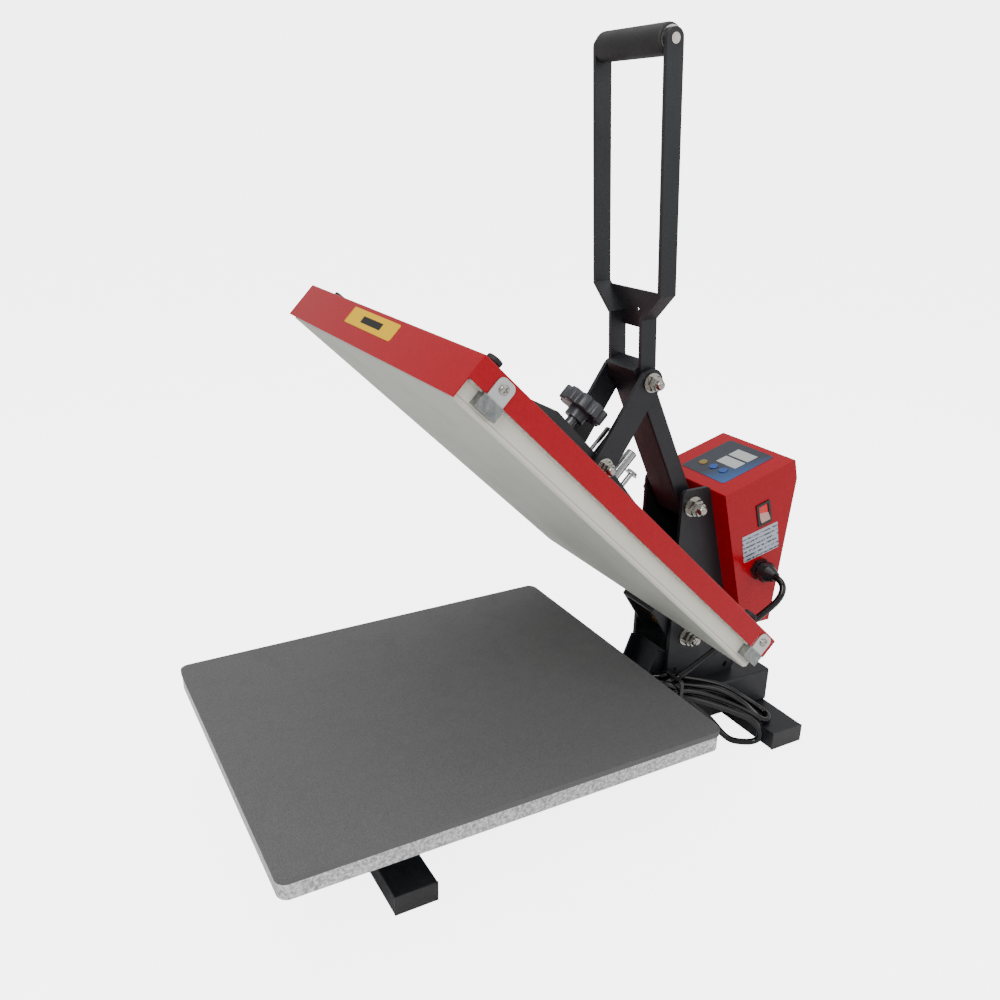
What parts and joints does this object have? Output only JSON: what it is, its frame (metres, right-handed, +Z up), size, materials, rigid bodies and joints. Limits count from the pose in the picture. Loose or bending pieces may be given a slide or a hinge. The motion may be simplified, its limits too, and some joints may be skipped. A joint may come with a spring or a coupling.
{
  "type": "heat press",
  "caption": "Clamshell heat press, open: flat bed with a grey pad, tilted heated platen on a toggle lever, and a sloping control box behind.",
  "frame": {"origin": "on the bench, under the middle of the machine's bounding box without the mains cord", "axes": "+Z up, -Y towards the operator, +X to the operator's right; the arm and lever hinges run along X"},
  "size_m": [0.4172, 0.71, 0.8276],
  "materials": {
    "black_coat": "black textured powder coat",
    "red_coat": "glossy red powder coat",
    "bed_aluminium": "milled edge",
    "pad_silicone": "matt grey silicone foam",
    "cap_plastic": "moulded plastic",
    "zinc_steel": "zinc plated",
    "chrome_steel": "polished",
    "dark_steel": "oiled steel",
    "bronze": "sintered bronze",
    "heater_coat": "coated casting",
    "heater_edge": "rough insulation",
    "galvanised": "galvanised sheet",
    "rubber_black": "moulded rubber",
    "label_yellow": "printed film",
    "label_silver": "printed film",
    "knob_plastic": "moulded plastic",
    "overlay_film": "printed film",
    "window_plastic": "clear window over a pale display",
    "board_green": "circuit board",
    "key_gold": "printed key",
    "key_blue": "printed key",
    "relay_plastic": "moulded plastic",
    "switch_black": "moulded plastic",
    "switch_red": "translucent plastic",
    "cord_black": "smooth cable sheath"
  },
  "bodies": {
    "base": {"front_crossbar": "black_coat", "rear_crossbar": "black_coat", "main_beam": "black_coat", "bed_supports": "black_coat", "right_upright": "black_coat", "left_upright": "black_coat", "front_brace": "black_coat", "crossbar_end_caps": "cap_plastic", "frame_bolts": "zinc_steel", "lower_platen": "bed_aluminium", "silicone_pad": "pad_silicone", "pivot_bolts": "zinc_steel", "pivot_spacers": "dark_steel", "box_shell": "red_coat", "box_back_cover": "red_coat", "box_bracket": "black_coat", "panel_overlay": "overlay_film", "display_windows": "window_plastic", "circuit_board": "board_green", "relay": "relay_plastic", "rocker_housing": "switch_black", "cable_gland": "switch_black", "rating_label": "label_silver", "cord_tube": "cord_black", "cord_hank": "cord_black", "cord_tie": "cap_plastic", "cord_plug": "cord_black"},
    "arm": {"arm_channel": "black_coat", "arm_bush": "bronze", "spindle_nut": "dark_steel", "guide_bushes": "bronze"},
    "heating_head": {"heating_plate": "heater_coat", "heating_element": "dark_steel", "insulation_board": "heater_edge", "platen_cover": "red_coat", "corner_brackets": "galvanised", "bracket_screws": "zinc_steel", "cover_bumpers": "rubber_black", "front_label": "label_yellow", "bridge_plate": "black_coat", "bridge_fixings": "zinc_steel", "guide_posts": "chrome_steel"},
    "knob": {"pressure_spindle": "dark_steel", "pressure_knob": "knob_plastic"},
    "lever": {"lever_tube": "black_coat", "lever_sleeve": "bronze", "lever_tube_cap": "black_coat", "right_handle_bar": "black_coat", "left_handle_bar": "black_coat", "handle_web": "black_coat", "handle_grip": "rubber_black", "grip_rod": "zinc_steel", "link_pin_bolt": "zinc_steel"},
    "links": {"right_link": "black_coat", "left_link": "black_coat", "link_foot_bolts": "zinc_steel"},
    "rocker": {"power_rocker": "switch_red"},
    "mode_button": {"mode_key": "key_gold"},
    "up_button": {"up_key": "key_blue"},
    "down_button": {"down_key": "key_blue"}
  },
  "joints": [
    {"name": "arm_hinge", "type": "hinge", "parent": "base", "child": "arm", "pos_m": [0, 0.2278, 0.1408], "axis": [1, 0, 0], "range_deg": [0, 44]},
    {"name": "head_slide", "type": "slide", "parent": "arm", "child": "heating_head", "axis": [0, -0.6947, -0.7193], "range_m": [0, 0.011]},
    {"name": "knob_turn", "type": "hinge", "parent": "heating_head", "child": "knob", "pos_m": [0, 0.07096, 0.44163], "axis": [0, -0.6947, -0.7193], "range_deg": [0, 1321]},
    {"name": "lever_hinge", "type": "hinge", "parent": "base", "child": "lever", "pos_m": [0, 0.2167, 0.3174], "axis": [1, 0, 0], "range_deg": [0, 83.11]},
    {"name": "link_hinge", "type": "hinge", "parent": "lever", "child": "links", "pos_m": [0, 0.14129, 0.47587], "axis": [1, 0, 0], "range_deg": [-115.94, 0]},
    {"name": "rocker_hinge", "type": "hinge", "parent": "base", "child": "rocker", "pos_m": [0.0597, 0.3055, 0.3017], "axis": [0, 0.9636, 0.2672], "range_deg": [0, 16]},
    {"name": "mode_press", "type": "slide", "parent": "base", "child": "mode_button", "axis": [0, 0.2672, -0.9636], "range_m": [0, 0.0006], "stiffness_N_per_m": 800, "springref_m": -0.0002},
    {"name": "up_press", "type": "slide", "parent": "base", "child": "up_button", "axis": [0, 0.2672, -0.9636], "range_m": [0, 0.0006], "stiffness_N_per_m": 800, "springref_m": -0.0002},
    {"name": "down_press", "type": "slide", "parent": "base", "child": "down_button", "axis": [0, 0.2672, -0.9636], "range_m": [0, 0.0006], "stiffness_N_per_m": 800, "springref_m": -0.0002}
  ],
  "couplings": [
    {"joint": "lever_hinge", "follows": "arm_hinge", "ratio": 1.8878},
    {"joint": "link_hinge", "follows": "arm_hinge", "ratio": -2.6339},
    {"joint": "knob_turn", "follows": "head_slide", "rad_per_m": 2094.4}
  ]
}
